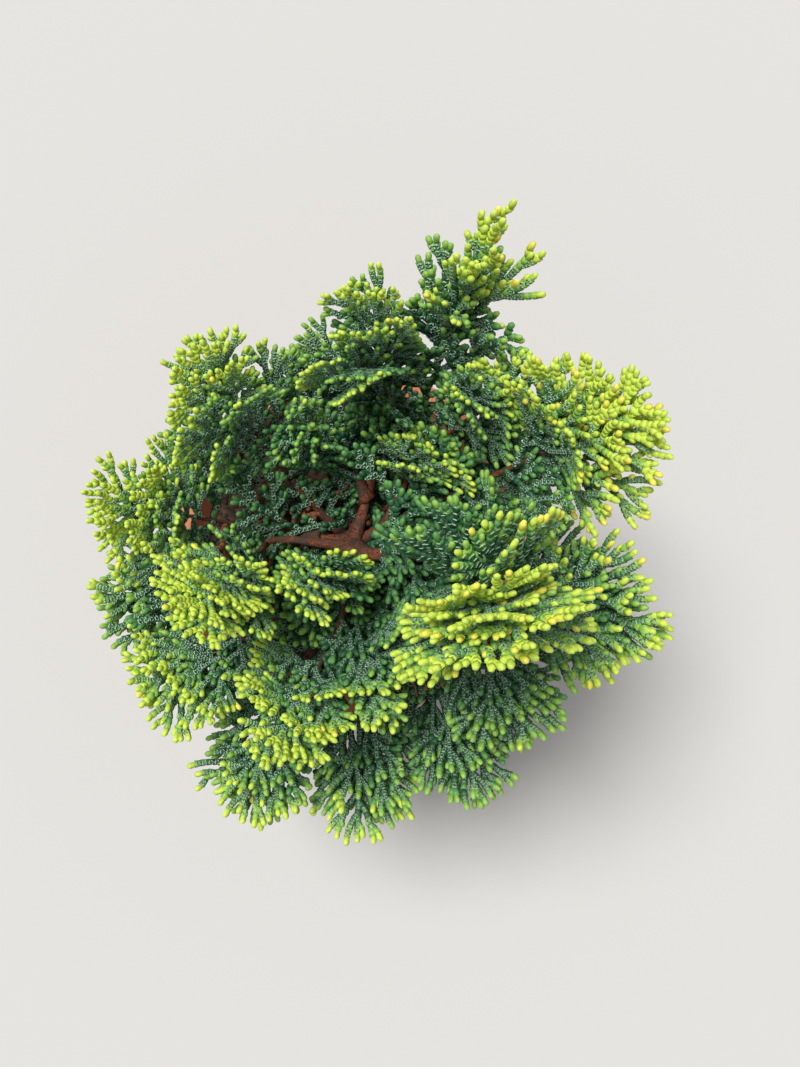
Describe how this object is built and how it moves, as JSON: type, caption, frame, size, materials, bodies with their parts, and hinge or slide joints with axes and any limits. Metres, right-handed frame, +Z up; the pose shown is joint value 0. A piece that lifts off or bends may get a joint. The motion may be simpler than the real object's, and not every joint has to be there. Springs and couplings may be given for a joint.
{
  "type": "potted dwarf conifer",
  "caption": "Young dwarf cypress with dense, upright, shell-shaped sprays on a short forked stem, rooted in a plain round clay pot filled with soil.",
  "frame": {"origin": "centre of the pot's flat underside, on the surface that the pot stands on", "axes": "+Z up along the pot's axis; +Y is the top and +X the right of the crown as the picture shows it from above"},
  "size_m": [0.1578, 0.1715, 0.223],
  "materials": {
    "clay": "matte",
    "soil": "matte",
    "bark": "rough",
    "foliage": "matte"
  },
  "bodies": {
    "root": {"pot": "clay", "potting_soil": "soil", "trunk": "bark", "bough_centre_east": "bark", "bough_centre_south": "bark", "bough_centre_west": "bark", "bough_east": "bark", "bough_east_low": "bark", "bough_leader": "bark", "bough_north": "bark", "bough_north_east": "bark", "bough_north_east_low": "bark", "bough_north_inner": "bark", "bough_north_low": "bark", "bough_north_spire": "bark", "bough_north_west": "bark", "bough_north_west_low": "bark", "bough_south": "bark", "bough_south_east": "bark", "bough_south_inner": "bark", "bough_south_ridge": "bark", "bough_south_south_east": "bark", "bough_south_west": "bark", "bough_south_west_low": "bark", "bough_south_west_ridge": "bark", "bough_west": "bark", "bough_west_low": "bark", "foliage_centre_east": "foliage", "foliage_centre_south": "foliage", "foliage_centre_west": "foliage", "foliage_east": "foliage", "foliage_east_low": "foliage", "foliage_leader": "foliage", "foliage_north": "foliage", "foliage_north_east": "foliage", "foliage_north_east_low": "foliage", "foliage_north_inner": "foliage", "foliage_north_low": "foliage", "foliage_north_spire": "foliage", "foliage_north_west": "foliage", "foliage_north_west_low": "foliage", "foliage_south": "foliage", "foliage_south_east": "foliage", "foliage_south_inner": "foliage", "foliage_south_ridge": "foliage", "foliage_south_south_east": "foliage", "foliage_south_west": "foliage", "foliage_south_west_low": "foliage", "foliage_south_west_ridge": "foliage", "foliage_west": "foliage", "foliage_west_low": "foliage"}
  },
  "joints": []
}
